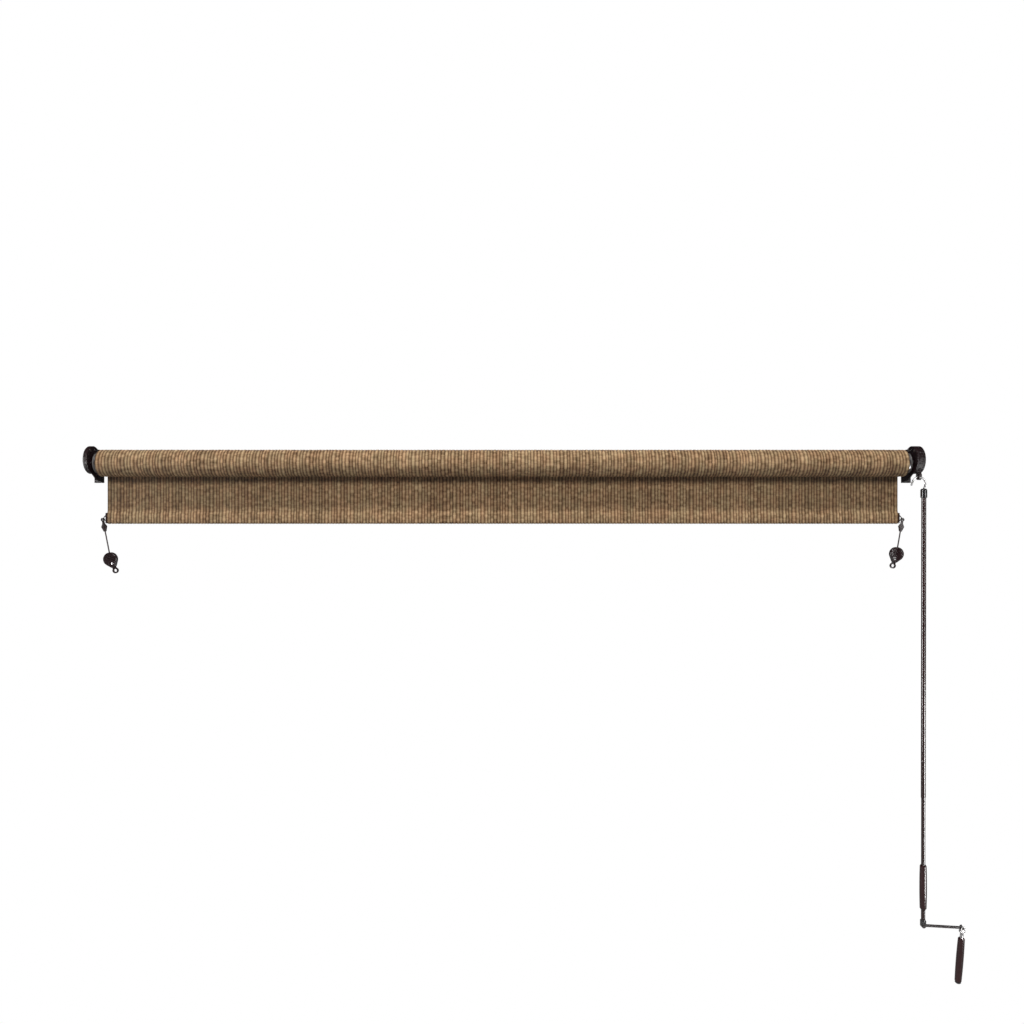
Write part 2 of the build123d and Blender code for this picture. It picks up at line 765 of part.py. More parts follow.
def make_fork(plane, neck):
    """Two cheeks round a pivot, under a neck, with the slot and the rivet's hole."""
    with BuildPart() as fork:
        with BuildSketch(plane):
            Circle(fork_round)
            with Locations((0, neck / 2)):
                Rectangle(2 * fork_round, neck)
        extrude(amount=fork_half, both=True)
        with BuildSketch(plane):
            Circle(arm_boss + fork_room)
            with Locations((0, -arm_boss)):
                Rectangle(6 * arm_boss, 3 * arm_boss + 2 * fork_room)
        extrude(amount=fork_slot, both=True, mode=Mode.SUBTRACT)
        with BuildSketch(plane):
            Circle(rivet_radius + seat)
        extrude(amount=fork_half, both=True, mode=Mode.SUBTRACT)
    return fork.part


# Fork in the end of the lower tube
elbow_plane = Plane(origin=(wand_x, worm_y, elbow_z), x_dir=(1, 0, 0), z_dir=(0, -1, 0))
elbow_cheeks = make_fork(elbow_plane, fork_neck - fork_collar / 2)
with BuildPart() as elbow_fork:
    add(elbow_cheeks)
    with BuildSketch(Plane.XY.offset(lower_low - fork_collar)):
        with Locations((wand_x, worm_y)):
            Circle(fork_round)
    extrude(amount=fork_collar)
    with BuildSketch(Plane.XY.offset(lower_low)):
        with Locations((wand_x, worm_y)):
            Circle(lower_radius - lower_wall - seat)
    extrude(amount=fork_stem)
save(elbow_fork, "elbow_fork")


def make_rivet(plane, name):
    """Rivet with a low head on each side."""
    with BuildPart() as rivet:
        with BuildSketch(plane):
            Circle(rivet_radius)
        extrude(amount=fork_half + seat, both=True)
        for face in (1, -1):
            with BuildSketch(plane.offset(face * (fork_half + seat))):
                Circle(rivet_head)
            extrude(amount=face * rivet_head_high)
    save(rivet, name)


make_rivet(elbow_plane, "elbow_rivet")
make_rivet(handle_plane, "arm_rivet")

# Crank arm between the two pivots
with BuildPart() as crank_arm:
    with BuildSketch(arm_plane):
        with Locations((arm_length / 2, 0)):
            Rectangle(arm_length, arm_height)
        with Locations((0, 0), (arm_length, 0)):
            Circle(arm_boss)
            Circle(rivet_radius + running, mode=Mode.SUBTRACT)
    extrude(amount=arm_thick / 2, both=True)
save(crank_arm, "crank_arm")

# Handle rod, hanging from the arm's end in its own fork
handle_top = -handle_neck
handle_low = handle_top - handle_grip_length
handle_top_plane = Plane(origin=arm_end, x_dir=-handle_plane.x_dir, z_dir=(0, -1, 0))
handle_cheeks = make_fork(handle_top_plane, fork_neck - fork_collar)
with BuildPart() as handle_rod:
    add(handle_cheeks)
    with BuildSketch(handle_plane):
        Polygon(
            (0, -fork_neck + fork_collar + 1),
            (fork_round - 1, -fork_neck + fork_collar + 1),
            (handle_rod_radius, -fork_neck),
            (handle_rod_radius, handle_low - rest_gap),
            (handle_rod_radius - handle_step, handle_low - rest_gap),
            (handle_rod_radius - handle_step, handle_low - handle_end_length),
            (0, handle_low - handle_end_length),
            align=None,
        )
    revolve(axis=handle_axis)
save(handle_rod, "handle_rod")

with BuildPart() as handle_grip:
    with BuildSketch(handle_plane):
        draw_grip(handle_low, handle_top, handle_rod_radius + running)
    revolve(axis=handle_axis)
save(handle_grip, "handle_grip")

# Cap that keeps the handle grip on its rod
with BuildPart() as handle_end:
    with BuildSketch(handle_plane):
        Polygon(
            (handle_rod_radius - handle_step + seat, handle_low - rest_gap - seat),
            (handle_end_radius, handle_low - rest_gap - seat),
            (handle_end_radius, handle_low - handle_end_length + cap_edge),
            (handle_end_radius - 2 * cap_edge, handle_low - handle_end_length - cap_edge),
            (0, handle_low - handle_end_length - cap_edge),
            (0, handle_low - handle_end_length - seat),
            (handle_rod_radius - handle_step + seat, handle_low - handle_end_length - seat),
            align=None,
        )
    revolve(axis=handle_axis)
save(handle_end, "handle_end")


def make_hold_down(side, word, lean_inward, cord_length, block_turn):
    """Hook on the bar's loop, its cord, and the block with a fixing eye."""
    lean = radians(side * lean_inward)
    tip = Vector(side * (half_cloth + loop_reach), panel_y, hem_low + loop_rise)
    plane = Plane(origin=tip, x_dir=(cos(lean), 0, -sin(lean)), z_dir=(0, -1, 0))
    eye_low = loop_wire + rest_gap - hook_eye
    with BuildPart() as hook:
        with BuildSketch(plane):
            with BuildLine():
                Polyline(
                    (-hook_shank / 2, eye_low - hook_rim / 2),
                    (-hook_shank / 2, -shank_long),
                    (-hook_wide / 2, -hook_shoulder),
                    (-cord_radius - hook_end, -hook_long),
                    (cord_radius + hook_end, -hook_long),
                    (hook_wide / 2, -hook_shoulder),
                    (hook_shank / 2, -shank_long),
                    (hook_shank / 2, eye_low - hook_rim / 2),
                    (-hook_shank / 2, eye_low - hook_rim / 2),
                )
            make_face()
            with Locations((0, eye_low)):
                Circle(hook_rim)
                Circle(hook_eye, mode=Mode.SUBTRACT)
            with Locations((side * (hook_rim + hook_shank / 2), eye_low - hook_throat)):
                Rectangle(2 * hook_rim, hook_throat, rotation=side * throat_turn, mode=Mode.SUBTRACT)
        extrude(amount=hook_thick / 2, both=True)
        with BuildSketch(Plane(origin=plane.from_local_coords(Vector(0, -hook_long, 0)), z_dir=plane.y_dir)):
            Circle(cord_radius + seat)
        extrude(amount=cord_socket, mode=Mode.SUBTRACT)
    save(hook, "hold_down_hook_" + word)
    cord_top = plane.from_local_coords(Vector(0, -hook_long + cord_socket - seat, 0))
    with BuildPart() as cord:
        with BuildSketch(Plane(origin=cord_top, z_dir=-plane.y_dir)):
            Circle(cord_radius)
        extrude(amount=cord_length)
    save(cord, "hold_down_cord_" + word)
    cord_low = -hook_long + cord_socket - seat - cord_length
    centre = plane.from_local_coords(Vector(0, cord_low + cord_socket - block_radius, 0))
    slant = radians(side * (lean_inward + block_turn))
    block_plane = Plane(origin=centre, x_dir=(cos(slant), 0, -sin(slant)), z_dir=(0, -1, 0))
    with BuildPart() as block:
        with BuildSketch(block_plane):
            Circle(block_radius)
            with Locations((0, -toe_drop)):
                Circle(block_toe)
            make_hull()
        extrude(amount=block_thick / 2, both=True)
        faces = block.faces().filter_by(Axis.Y)
        chamfer(faces.edges(), block_groove)
        for face in (1, -1):
            with BuildSketch(block_plane.offset(face * block_thick / 2)):
                for row in (0, 1):
                    with Locations((-side * row * band_apart, band_rise + row * band_apart)):
                        Rectangle(2 * block_radius, band_width, rotation=side * band_turn)
            extrude(amount=-face * band_deep, mode=Mode.SUBTRACT)
        with BuildSketch(block_plane):
            with Locations((0, -ring_drop)):
                Circle(ring_outer)
            with Locations((0, -(ring_drop + toe_drop) / 2)):
                Rectangle(1.2 * ring_outer, ring_drop - toe_drop)
        extrude(amount=ring_thick / 2, both=True)
        with BuildSketch(block_plane):
            with Locations((0, -ring_drop)):
                Circle(ring_hole)
            with Locations((-side * peep_side, -peep_drop)):
                Circle(peep_radius)
        extrude(amount=block_thick, both=True, mode=Mode.SUBTRACT)
        socket = block_radius - cord_socket - seat
        with BuildSketch(Plane(origin=centre + socket * plane.y_dir, z_dir=plane.y_dir)):
            Circle(cord_radius + seat)
        extrude(amount=cord_socket + 1, mode=Mode.SUBTRACT)
    save(block, "hold_down_block_" + word)


make_hold_down(-1, "left", left_lean, left_cord_length, left_block_turn)
make_hold_down(1, "right", right_lean, right_cord_length, right_block_turn)
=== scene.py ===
import json
import math

import bpy
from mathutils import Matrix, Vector

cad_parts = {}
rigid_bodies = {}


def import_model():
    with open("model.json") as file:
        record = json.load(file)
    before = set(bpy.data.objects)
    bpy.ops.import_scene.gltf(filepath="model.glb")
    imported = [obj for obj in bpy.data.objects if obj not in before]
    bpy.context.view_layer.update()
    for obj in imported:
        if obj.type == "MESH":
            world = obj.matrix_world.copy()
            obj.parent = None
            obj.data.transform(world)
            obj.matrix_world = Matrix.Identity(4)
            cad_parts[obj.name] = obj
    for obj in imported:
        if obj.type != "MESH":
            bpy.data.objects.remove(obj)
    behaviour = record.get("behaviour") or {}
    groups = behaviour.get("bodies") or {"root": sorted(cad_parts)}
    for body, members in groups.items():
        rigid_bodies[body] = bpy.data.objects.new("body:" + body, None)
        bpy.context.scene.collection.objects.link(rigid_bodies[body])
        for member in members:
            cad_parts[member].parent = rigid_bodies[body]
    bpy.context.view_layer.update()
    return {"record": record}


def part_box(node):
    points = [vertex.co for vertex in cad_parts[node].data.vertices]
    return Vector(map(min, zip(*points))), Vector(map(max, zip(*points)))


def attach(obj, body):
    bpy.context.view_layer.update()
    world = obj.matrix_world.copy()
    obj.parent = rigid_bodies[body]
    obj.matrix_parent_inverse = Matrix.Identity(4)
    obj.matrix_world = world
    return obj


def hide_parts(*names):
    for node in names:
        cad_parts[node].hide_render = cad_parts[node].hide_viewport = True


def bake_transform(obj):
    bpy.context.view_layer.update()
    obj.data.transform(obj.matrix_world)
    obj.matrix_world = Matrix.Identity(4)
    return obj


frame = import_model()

# Outdoor roller shade, in metres. X runs along the roller, Y points at the wall, Z is up.

# Sizes that the cloth and the fittings share with the frame
roll_low, roll_high = (Vector(corner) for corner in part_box("fabric_roll"))
panel_low, panel_high = (Vector(corner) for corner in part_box("fabric_panel"))
axis_y = (roll_low.y + roll_high.y) / 2
axis_z = (roll_low.z + roll_high.z) / 2
roll_radius = (roll_high.z - roll_low.z) / 2
half_cloth = roll_high.x
cloth_width = 2 * half_cloth
tube_radius = 0.0285
hem_height = 0.034
panel_y = (panel_low.y + panel_high.y) / 2
rib_count = 254
rib_pitch = cloth_width / rib_count
rib_depth = 0.0013
rib_fullness = 0.7
knot_pitch = 0.0034
# The ribs lie a little unevenly: waves along the width, and how far each one shifts them
rib_shifts = ((7, 0.0016), (23, 0.0010), (61, 0.0011))


def smooth_mesh(name, vertices, faces, material):
    """A new smooth-shaded object from points and faces, with one material."""
    mesh = bpy.data.meshes.new(name)
    mesh.from_pydata(vertices, [], faces)
    mesh.validate()
    mesh.polygons.foreach_set("use_smooth", [True] * len(mesh.polygons))
    mesh.materials.append(material)
    mesh.update()
    piece = bpy.data.objects.new(name, mesh)
    bpy.context.scene.collection.objects.link(piece)
    return piece


def grid_faces(rows, columns, closed=False):
    """Quads between rows of points, closed round each row or not."""
    faces = []
    last = columns if closed else columns - 1
    for row in range(rows - 1):
        for column in range(last):
            after = (column + 1) % columns
            low = row * columns
            high = low + columns
            faces.append((low + column, low + after, high + after, high + column))
    return faces


# Materials

# The hammered finish's dents: how fine they are, and how much each step of hammer deepens them
dent_scale = 230.0
dent_strength = 0.06


class Nodes:
    """Short names for making a material's nodes."""

    def __init__(self, name):
        self.material = bpy.data.materials.new(name)
        self.material.use_nodes = True
        self.tree = self.material.node_tree
        self.shader = self.tree.nodes["Principled BSDF"]
        self.place = self.add("ShaderNodeTexCoord").outputs["Object"]

    def add(self, kind, **settings):
        node = self.tree.nodes.new(kind)
        for key, value in settings.items():
            setattr(node, key, value)
        return node

    def link(self, out, into):
        self.tree.links.new(out, into)

    def stretch(self, scale):
        """The piece's own coordinates, scaled along each axis."""
        mapping = self.add("ShaderNodeMapping")
        self.link(self.place, mapping.inputs["Vector"])
        mapping.inputs["Scale"].default_value = scale
        return mapping.outputs["Vector"]

    def noise(self, scale, detail=3.0, place=None, roughness=0.55):
        node = self.add("ShaderNodeTexNoise")
        node.inputs["Scale"].default_value = scale
        node.inputs["Detail"].default_value = detail
        node.inputs["Roughness"].default_value = roughness
        self.link(place or self.place, node.inputs["Vector"])
        return node.outputs["Fac"]

    def math(self, operation, first, second=None, third=None):
        node = self.add("ShaderNodeMath", operation=operation)
        for index, value in enumerate((first, second, third)):
            if value is None:
                continue
            if isinstance(value, (int, float)):
                node.inputs[index].default_value = value
            else:
                self.link(value, node.inputs[index])
        return node.outputs[0]

    def spread(self, value, low, high, new_low, new_high):
        node = self.add("ShaderNodeMapRange")
        self.link(value, node.inputs["Value"])
        node.inputs["From Min"].default_value = low
        node.inputs["From Max"].default_value = high
        node.inputs["To Min"].default_value = new_low
        node.inputs["To Max"].default_value = new_high
        return node.outputs["Result"]

    def ramp(self, value, *stops):
        node = self.add("ShaderNodeValToRGB")
        self.link(value, node.inputs["Fac"])
        elements = node.color_ramp.elements
        while len(elements) < len(stops):
            elements.new(0.5)
        for element, (position, colour) in zip(elements, stops):
            element.position = position
            element.color = (*colour, 1.0)
        return node.outputs["Color"]

    def bump(self, height, strength, distance):
        node = self.add("ShaderNodeBump")
        node.inputs["Strength"].default_value = strength
        node.inputs["Distance"].default_value = distance
        self.link(height, node.inputs["Height"])
        self.link(node.outputs["Normal"], self.shader.inputs["Normal"])

    def colour(self, socket):
        self.link(socket, self.shader.inputs["Base Color"])

    def rough(self, socket):
        self.link(socket, self.shader.inputs["Roughness"])


def cloth_material(name, light, middle, dark, wound):
    """Ribbed woven cloth: each rib has its own tone, broken into short flecks and knots of yarn. Each rib is
    also painted lighter along its crest and darker at its edges, a painted highlight and painted shade.
    """
    fleck_scale = 95.0
    fleck_offset = 7.31
    # Shares in the colour of the rib's own tone, the painted crest highlight, the random patches and the
    # yarn knots
    tone_share, crest_highlight_share, patch_share, knot_share = 0.14, 0.5, 0.12, 0.16
    darkest, lightest = 0.46, 1.46
    warm, cool = (1.0, 0.95, 0.89), (0.95, 1.0, 0.95)
    n = Nodes(name)
    split = n.add("ShaderNodeSeparateXYZ")
    n.link(n.place, split.inputs["Vector"])
    across = split.outputs["X"]
    even = across
    for waves, shift in rib_shifts:
        wave = n.math("SINE", n.math("MULTIPLY", across, waves * math.pi / half_cloth))
        even = n.math("MULTIPLY_ADD", wave, shift, even)
    rib = n.math("DIVIDE", even, rib_pitch)
    whole = n.math("FLOOR", rib)
    tone = n.add("ShaderNodeTexWhiteNoise", noise_dimensions="1D")
    n.link(whole, tone.inputs["W"])
    yarn = n.add("ShaderNodeCombineXYZ")
    n.link(n.math("MULTIPLY", whole, fleck_offset), yarn.inputs["X"])
    for axis in "YZ":
        n.link(n.math("MULTIPLY", split.outputs[axis], fleck_scale), yarn.inputs[axis])
    flecks = n.noise(1.0, 3.0, yarn.outputs["Vector"], 0.5)
    along = split.outputs["Z"]
    if wound:
        depth = n.math("SUBTRACT", split.outputs["Y"], axis_y)
        rise = n.math("SUBTRACT", along, axis_z)
        along = n.math("MULTIPLY", n.math("ARCTAN2", rise, depth), roll_radius)
    phase = n.math("MULTIPLY", along, 2 * math.pi / knot_pitch)
    turn = n.math("MULTIPLY_ADD", tone.outputs["Value"], 2 * math.pi, phase)
    knots = n.math("MULTIPLY_ADD", n.math("SINE", turn), 0.5, 0.5)
    patches = n.noise(1.0, 2.0, n.stretch((9.0, 5.0, 5.0)))
    # Painted highlight and shade: the colour is lightest along each rib's crest and darkest in the grooves
    # between ribs
    crest_highlight = n.math("PINGPONG", n.math("MULTIPLY", n.math("SUBTRACT", rib, whole), 2.0), 1.0)
    mix = n.math("MULTIPLY_ADD", tone.outputs["Value"], tone_share, flecks)
    for pattern, share in ((crest_highlight, crest_highlight_share), (patches, patch_share), (knots, knot_share)):
        mix = n.math("MULTIPLY_ADD", pattern, share, mix)
    shade = n.spread(mix, darkest, lightest, 0.0, 1.0)
    yarn_tone = n.ramp(shade, (0.1, dark), (0.5, middle), (0.9, light))
    hue = n.ramp(n.noise(1.0, 2.0, n.stretch((36.0, 20.0, 20.0))), (0.38, warm), (0.62, cool))
    tint = n.add("ShaderNodeMix", data_type="RGBA", blend_type="MULTIPLY")
    tint.inputs["Factor"].default_value = 1.0
    n.link(yarn_tone, tint.inputs["A"])
    n.link(hue, tint.inputs["B"])
    n.colour(tint.outputs["Result"])
    n.rough(n.spread(flecks, 0.3, 0.7, 0.72, 0.92))
    fibres = n.noise(1.0, 5.0, n.stretch((1100.0, 1500.0, 1500.0)))
    n.bump(n.math("MULTIPLY_ADD", knots, 0.7, fibres), 0.6, 0.0008)
    n.shader.inputs["Sheen Weight"].default_value = 0.05
    n.shader.inputs["Specular IOR Level"].default_value = 0.15
    return n.material


def painted_material(name, base, worn, roughness, grain=1400.0, coat=0.2, hammer=0.0, gloss=0.5):
    """Paint with a fine orange-peel grain and slightly rubbed patches, hammered or not."""
    n = Nodes(name)
    patches = n.noise(38.0, 5.0)
    n.colour(n.ramp(patches, (0.35, base), (0.72, worn)))
    n.rough(n.spread(n.noise(90.0, 4.0), 0.3, 0.7, roughness - 0.08, roughness + 0.1))
    height = n.math("MULTIPLY_ADD", n.noise(dent_scale, 2.0), hammer, n.noise(grain, 2.0))
    n.bump(height, 0.12 + dent_strength * hammer, 0.0004)
    n.shader.inputs["Specular IOR Level"].default_value = gloss
    n.shader.inputs["Coat Weight"].default_value = coat
    n.shader.inputs["Coat Roughness"].default_value = 0.15
    return n.material


def metal_material(name, light, dark, roughness, along=(1.0, 1.0, 1.0)):
    """Bare or plated metal with fine drawn lines."""
    n = Nodes(name)
    lines = n.noise(900.0, 3.0, n.stretch(along))
    n.colour(n.ramp(lines, (0.3, dark), (0.7, light)))
    n.rough(n.spread(lines, 0.3, 0.7, roughness - 0.05, roughness + 0.08))
    n.bump(lines, 0.05, 0.0002)
    n.shader.inputs["Metallic"].default_value = 1.0
    return n.material


def moulded_material(name, base, pale, roughness, speckle=260.0, coat=0.0, hammer=0.0, gloss=0.5):
    """Moulded plastic with faint flow marks and a soft grain, hammered or not."""
    n = Nodes(name)
    flow = n.noise(24.0, 4.0, n.stretch((1.0, 1.0, 0.35)))
    n.colour(n.ramp(flow, (0.3, base), (0.75, pale)))
    n.rough(n.spread(n.noise(speckle, 3.0), 0.3, 0.7, roughness - 0.06, roughness + 0.08))
    height = n.math("MULTIPLY_ADD", n.noise(dent_scale, 2.0), hammer, n.noise(1100.0, 2.0))
    n.bump(height, 0.1 + dent_strength * hammer, 0.0004)
    n.shader.inputs["Specular IOR Level"].default_value = gloss
    n.shader.inputs["Coat Weight"].default_value = coat
    n.shader.inputs["Coat Roughness"].default_value = 0.12
    return n.material


# The cloth's light, middle and dark tones, and then the looks of the material slots
cloth_tones = ((0.76, 0.525, 0.315), (0.345, 0.212, 0.118), (0.075, 0.038, 0.018))
cloth_look = cloth_material("cloth", *cloth_tones, wound=False)
wound_look = cloth_material("wound_cloth", *cloth_tones, wound=True)
dark_brown, rubbed_brown = (0.011, 0.004, 0.005), (0.028, 0.011, 0.013)
hammered = {"coat": 0.0, "hammer": 8.0, "gloss": 0.3}
bracket_look = painted_material("bracket_paint", dark_brown, rubbed_brown, 0.3, **hammered)
case_look = moulded_material("case_plastic", dark_brown, rubbed_brown, 0.3, **hammered)
tube_look = metal_material("tube_metal", (0.36, 0.36, 0.37), (0.24, 0.24, 0.25), 0.38, (0.02, 1.0, 1.0))
plug_look = moulded_material("plug_plastic", (0.16, 0.15, 0.145), (0.24, 0.23, 0.22), 0.5)
gear_look = metal_material("gear_metal", (0.50, 0.49, 0.47), (0.33, 0.32, 0.30), 0.38)
bright_look = metal_material("bright_steel", (0.55, 0.54, 0.54), (0.34, 0.33, 0.33), 0.24)
dark_steel_look = painted_material(
    "dark_steel", (0.018, 0.010, 0.010), (0.050, 0.032, 0.031), 0.28, grain=1800.0, coat=0.2, gloss=0.4
)
wand_look = painted_material(
    "wand_paint", (0.028, 0.009, 0.008), (0.050, 0.018, 0.016), 0.16, grain=2200.0, coat=1.0, gloss=0.2
)
grip_look = moulded_material(
    "grip_plastic", (0.030, 0.006, 0.007), (0.060, 0.014, 0.015), 0.2, speckle=300.0, coat=0.7, gloss=0.2
)
ferrule_look = moulded_material(
    "ferrule_plastic", (0.010, 0.009, 0.010), (0.022, 0.020, 0.022), 0.25, speckle=300.0, coat=0.4
)
block_look = moulded_material(
    "block_plastic", (0.016, 0.006, 0.007), (0.040, 0.020, 0.022), 0.22, 300.0, 0.5, hammer=3.0, gloss=0.3
)


def cord_material():
    """Elastic cord's dark cover, with flecks as fine as a braid's strands."""
    n = Nodes("cord_cover")
    weave = n.noise(1.0, 2.0, n.stretch((1500.0, 1500.0, 900.0)))
    n.colour(n.ramp(weave, (0.35, (0.018, 0.010, 0.010)), (0.7, (0.075, 0.045, 0.044))))
    n.rough(n.spread(weave, 0.3, 0.7, 0.6, 0.85))
    n.bump(weave, 0.5, 0.0005)
    return n.material


cord_look = cord_material()

slot_looks = {
    "bracket_metal": bracket_look,
    "case_plastic": case_look,
    "cloth": cloth_look,
    "tube_metal": tube_look,
    "plug_plastic": plug_look,
    "gear_metal": gear_look,
    "bright_steel": bright_look,
    "dark_steel": dark_steel_look,
    "wand_paint": wand_look,
    "grip_plastic": grip_look,
    "ferrule_plastic": ferrule_look,
    "cord_cover": cord_look,
    "block_plastic": block_look,
}


def dress_frame():
    """Give every carried-over node the look of its material slot."""
    for part in frame["record"]["subparts"]:
        node = bpy.data.objects[part["node"]]
        for place in node.material_slots:
            place.material = slot_looks[part["material_slot"]]


# Cloth on the roller


def rib_shift(x):
    """How far the uneven lie of the ribs moves them at x."""
    return sum(shift * math.sin(waves * math.pi * x / half_cloth) for waves, shift in rib_shifts)


def rib_place(count):
    """Where the rib lies that is so many ribs from the left edge, with its height from 0 to 1."""
    even = -half_cloth + count * rib_pitch
    x = even - rib_shift(even - rib_shift(even))
    return x, abs(math.sin(math.pi * count)) ** rib_fullness


def make_roll():
    """Wound cloth with its ribs, closed at the ends by the turns of the winding."""
    segments = 72
    steps = 4
    columns = []
    # The ribs differ in height, by two waves: the angle from rib to rib, and how high it goes
    swells = ((2.399, 0.00022), (0.37, 0.00018))
    for rib in range(rib_count):
        for step in range(steps):
            x, height = rib_place(rib + step / steps)
            uneven = sum(swell * math.sin(rib * angle) for angle, swell in swells)
            columns.append((x, roll_radius - rib_depth * (1 - height) + uneven * height))
    columns.append((half_cloth, roll_radius - rib_depth))
    turns = 7
    # One turn of the winding, seen from the end: share of its width, and how far it stands out
    turn_shape = ((0.18, 0.0), (0.5, 0.0006), (0.82, 0.0), (1.0, -0.0016))
    turn_width = (roll_radius - rib_depth - tube_radius) / turns
    end = []
    for turn in range(turns):
        outer = roll_radius - rib_depth - turn * turn_width
        for share, depth in turn_shape:
            end.append((depth, outer - share * turn_width))
    left = [(-half_cloth - depth, radius) for depth, radius in reversed(end)]
    right = [(half_cloth + depth, radius) for depth, radius in end]
    profile = left + columns + right
    vertices = []
    for x, radius in profile:
        for segment in range(segments):
            angle = 2 * math.pi * segment / segments
            vertices.append((x, axis_y + radius * math.cos(angle), axis_z + radius * math.sin(angle)))
    piece = smooth_mesh("cloth_roll", vertices, grid_faces(len(profile), segments, True), wound_look)
    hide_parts("fabric_roll")
    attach(piece, "roller")


# Hanging cloth and its hem


def make_panel():
    """Hanging ribbed cloth, laid against the roll at its top and folded round the bar below."""
    steps = 4
    total = rib_count * steps + 1
    low = panel_low.z
    hem_top = low + hem_height
    half_hem = (panel_high.y - panel_low.y) / 2
    lap_angle, lap_gap, laps = 0.62, 0.0004, 7
    sheet_forward = 0.0008
    # Each row of the route is a place in the cloth's section, and whether the cloth hangs free there
    route = []
    for lap in range(laps):
        angle = lap_angle * (1 - lap / laps)
        radius = roll_radius + lap_gap
        route.append((axis_y + radius * math.cos(angle), axis_z + radius * math.sin(angle), False))
    for share in (0.0, 0.12, 0.3, 0.5, 0.7, 0.86, 0.96):
        route.append((panel_y - sheet_forward, axis_z + (hem_top - axis_z) * share, True))
    front = panel_y - half_hem + rib_depth
    back_gap = 0.0006
    back = panel_y + half_hem - back_gap
    middle = (hem_top + low) / 2
    bend = 0.0075
    corner_in, corner_up = 0.0008, 0.00175
    fold_half, fold_up = 0.0012, 0.0004
    hem = [
        (panel_y - 0.0016, hem_top + 0.0006),
        (front + 0.0012, hem_top - 0.0022),
        (front, hem_top - bend),
        (front, middle),
        (front, low + bend),
        (front + corner_in, low + corner_up),
        (panel_y - fold_half, low + fold_up),
        (panel_y + fold_half, low + fold_up),
        (back - corner_in, low + corner_up),
        (back, low + bend),
        (back, middle),
        (back, hem_top - bend),
        (panel_y + 0.0022, hem_top - 0.0012),
        (panel_y + 0.0012, hem_top + 0.0016),
    ]
    route += [(y, z, False) for y, z in hem]
    wave_height, wave_angle, wave_start = 0.0009, 5.1, 1.3
    vertices = []
    for row, (y, z, free) in enumerate(route):
        before = route[max(row - 1, 0)]
        after = route[min(row + 1, len(route) - 1)]
        along_y, along_z = after[0] - before[0], after[1] - before[1]
        size = math.hypot(along_y, along_z)
        out_y, out_z = along_z / size, -along_y / size
        for column in range(total):
            x, height = rib_place(column / steps)
            proud = rib_depth * height
            wave = 0.0
            if free:
                hang = (axis_z - z) / (axis_z - low)
                wave = wave_height * math.sin(x * wave_angle + wave_start) * math.sin(math.pi * hang)
            vertices.append((x, y + wave + out_y * proud, z + out_z * proud))
    piece = smooth_mesh("hanging_cloth", vertices, grid_faces(len(route), total), cloth_look)
    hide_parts("fabric_panel")
    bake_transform(piece)


# Hold-down cords and the rivets of their blocks

cord_thick = 0.004
# The upper and lower end of each cord, and how many degrees its block's ring leans inwards
cord_ends = {
    "left": (Vector((-1.22808, panel_y, -0.19395)), Vector((-1.21282, panel_y, -0.27248))),
    "right": (Vector((1.22877, panel_y, -0.19408)), Vector((1.21816, panel_y, -0.25618))),
}
block_leans = {"left": 24.0, "right": 17.7}


def make_cord(word, top, low):
    """Elastic cord from the hook down to its block."""
    curve = bpy.data.curves.new("hold_down_cord_" + word + "_braid", "CURVE")
    curve.dimensions = "3D"
    curve.bevel_depth = cord_thick / 2
    curve.bevel_resolution = 5
    spline = curve.splines.new("NURBS")
    middle = (top + low) / 2
    route = [top, top.lerp(low, 0.3), middle, top.lerp(low, 0.7), low]
    spline.points.add(len(route) - 1)
    for point, place in zip(spline.points, route):
        point.co = (*place, 1.0)
    spline.order_u = 3
    spline.use_endpoint_u = True
    curve.materials.append(cord_look)
    piece = bpy.data.objects.new(curve.name, curve)
    bpy.context.scene.collection.objects.link(piece)
    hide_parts("hold_down_cord_" + word)
    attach(piece, "hold_down_" + word)


def make_rivet(word, turn):
    """Domed bright rivet head on the front of a block, above its ring."""
    eyes = {mount["name"]: Vector(mount["pos_m"]) for mount in frame["record"]["mounts"]}
    side = 1 if word == "right" else -1
    up = Vector((side * math.sin(turn), 0, math.cos(turn)))
    across = Vector((math.cos(turn), 0, -side * math.sin(turn)))
    block_half = 0.008
    ring_drop, rivet_drop, rivet_side = 0.038, 0.0155, 0.003
    centre = eyes["hold_down_eye_" + word] + (ring_drop - rivet_drop) * up - side * rivet_side * across
    centre.y -= block_half
    segments = 24
    profile = (
        (0.0036, 0.0002),
        (0.0036, -0.0005),
        (0.0029, -0.0011),
        (0.0016, -0.0015),
        (0.0004, -0.0016),
    )
    vertices = []
    for radius, depth in profile:
        for segment in range(segments):
            angle = 2 * math.pi * segment / segments
            vertices.append((
                centre.x + radius * math.cos(angle),
                centre.y + depth,
                centre.z + radius * math.sin(angle),
            ))
    faces = grid_faces(len(profile), segments, True)
    faces.append(tuple(range((len(profile) - 1) * segments, len(profile) * segments)))
    faces.append(tuple(reversed(range(segments))))
    piece = smooth_mesh("block_rivet_" + word, vertices, faces, bright_look)
    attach(piece, "hold_down_" + word)


# Stage, light and camera


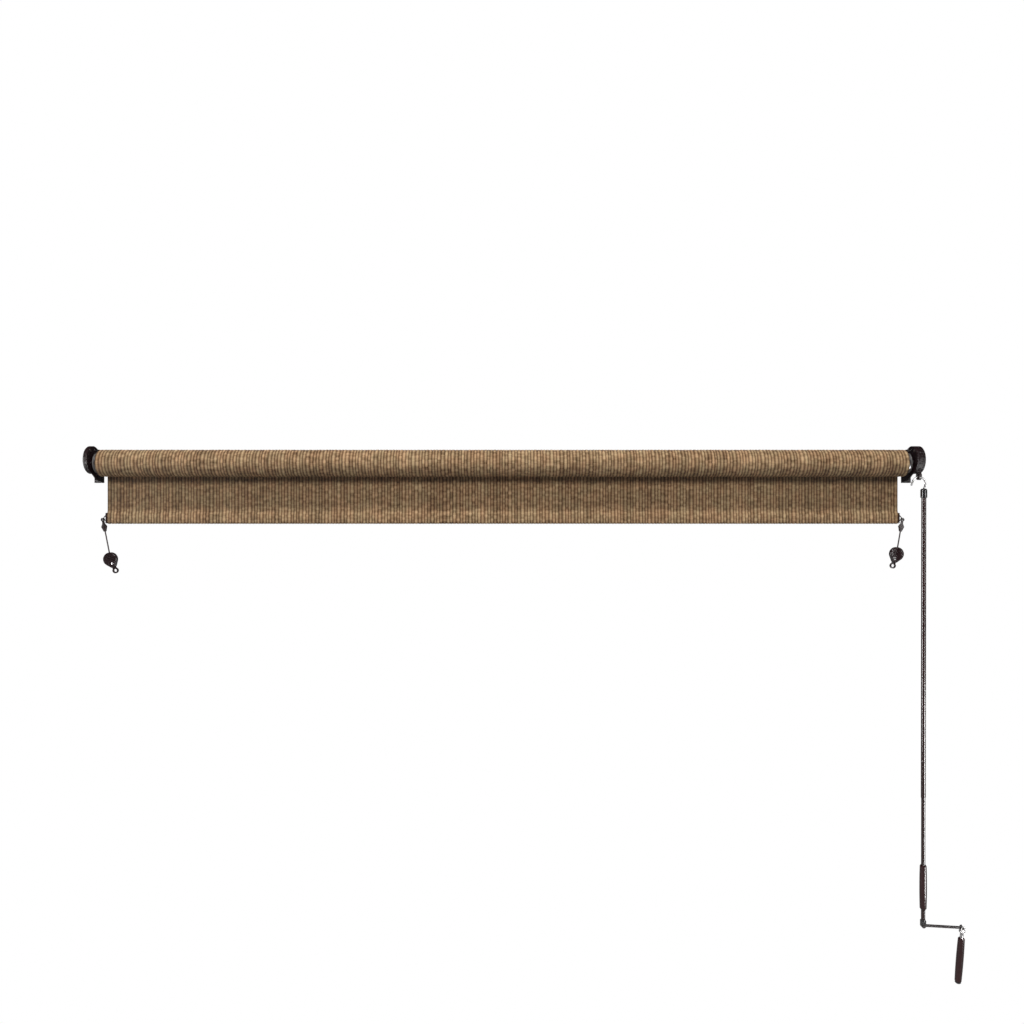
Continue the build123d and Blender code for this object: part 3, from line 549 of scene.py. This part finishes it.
def make_stage():
    """Pale floor, below the lowest place that the bar and its hold-downs reach."""
    floor_z = -2.3
    reach = 9.0
    floor_tone = 0.5
    glossy_share = 0.2
    vertices = [(x, y, floor_z) for y in (-reach, reach) for x in (-reach, reach)]
    n = Nodes("stage")
    n.shader.inputs["Base Color"].default_value = (floor_tone, floor_tone, floor_tone, 1.0)
    n.shader.inputs["Roughness"].default_value = 0.9
    glow = n.add("ShaderNodeEmission")
    glow.inputs["Color"].default_value = (1.0, 1.0, 1.0, 1.0)
    glow.inputs["Strength"].default_value = 1.0
    path = n.add("ShaderNodeLightPath")
    blend = n.add("ShaderNodeMixShader")
    seen = n.math("MULTIPLY_ADD", path.outputs["Is Glossy Ray"], glossy_share, path.outputs["Is Camera Ray"])
    n.link(seen, blend.inputs[0])
    n.link(n.shader.outputs[0], blend.inputs[1])
    n.link(glow.outputs[0], blend.inputs[2])
    n.link(blend.outputs[0], n.tree.nodes["Material Output"].inputs["Surface"])
    piece = smooth_mesh("stage", vertices, grid_faces(2, 2), n.material)


def make_light(name, place, aim, width, height, watts, gloss=True, spread=True):
    """Rectangular lamp aimed at a point. It may be left out of reflections, or light only those."""
    lamp = bpy.data.lights.new(name, "AREA")
    lamp.shape = "RECTANGLE"
    lamp.size = width
    lamp.size_y = height
    lamp.energy = watts
    piece = bpy.data.objects.new(name, lamp)
    piece.location = place
    piece.rotation_euler = (Vector(aim) - Vector(place)).to_track_quat("-Z", "Y").to_euler()
    piece.visible_glossy = gloss
    piece.visible_diffuse = spread
    piece.visible_camera = False
    bpy.context.scene.collection.objects.link(piece)


def make_lights():
    """Two broad lamps in front, and three strips that show only as streaks on glossy parts."""
    lamp_far, lamp_width = 4.0, 4.4
    for name, degrees, height, watts, gloss in (
        ("key", 57.3, 0.35, 105, True),
        ("front", 20.0, 1.0, 78, False),
    ):
        rise = math.radians(degrees)
        place = (0.0, axis_y - lamp_far * math.cos(rise), axis_z + lamp_far * math.sin(rise))
        make_light(name, place, (0, axis_y, axis_z), lamp_width, height, watts, gloss)
    wand_middle, wand_foot = (1.26, -0.09, -0.7), (1.26, -0.09, -1.3)
    for name, place, aim, width, height, watts in (
        ("left_strip", (-3.0, -1.2, -0.6), wand_middle, 0.5, 2.6, 130),
        ("right_strip", (3.0, -2.6, -0.6), wand_middle, 0.3, 2.6, 60),
        ("near_strip", (1.96, -0.84, -1.3), wand_foot, 0.16, 0.9, 22),
    ):
        make_light(name, place, aim, width, height, watts, spread=False)


def make_world():
    """A weak even light, dim and bluish in reflections, and white where the camera sees it."""
    world = bpy.data.worlds.new("studio")
    bpy.context.scene.world = world
    world.use_nodes = True
    tree = world.node_tree
    path = tree.nodes.new("ShaderNodeLightPath")
    layer = tree.nodes["Background"]
    layer.inputs["Color"].default_value = (1.0, 1.0, 1.0, 1.0)
    layer.inputs["Strength"].default_value = 0.06
    for ray, colour, strength in (
        ("Is Glossy Ray", (0.9, 0.93, 1.0), 0.06),
        ("Is Camera Ray", (1.0, 1.0, 1.0), 1.0),
    ):
        seen = tree.nodes.new("ShaderNodeBackground")
        seen.inputs["Color"].default_value = (*colour, 1.0)
        seen.inputs["Strength"].default_value = strength
        blend = tree.nodes.new("ShaderNodeMixShader")
        tree.links.new(path.outputs[ray], blend.inputs[0])
        tree.links.new(layer.outputs[0], blend.inputs[1])
        tree.links.new(seen.outputs[0], blend.inputs[2])
        layer = blend
    tree.links.new(layer.outputs[0], tree.nodes["World Output"].inputs["Surface"])


def make_camera():
    """The photograph's view: straight on, a little below the roller and just right of its middle."""
    right, far, drop = 0.029, 2.581, 0.139
    downward = 0.2
    camera = bpy.data.cameras.new("view")
    camera.sensor_width = 36.0
    camera.lens = 29.88
    piece = bpy.data.objects.new("view", camera)
    piece.location = (right, axis_y - far, axis_z - drop)
    piece.rotation_euler = (math.radians(90 - downward), 0.0, 0.0)
    bpy.context.scene.collection.objects.link(piece)
    bpy.context.scene.camera = piece


bpy.context.scene.view_settings.view_transform = "Standard"
make_camera()
make_world()
make_stage()
make_lights()
dress_frame()
make_roll()
make_panel()
for word, ends in cord_ends.items():
    make_cord(word, *ends)
for word, lean in block_leans.items():
    make_rivet(word, math.radians(lean))
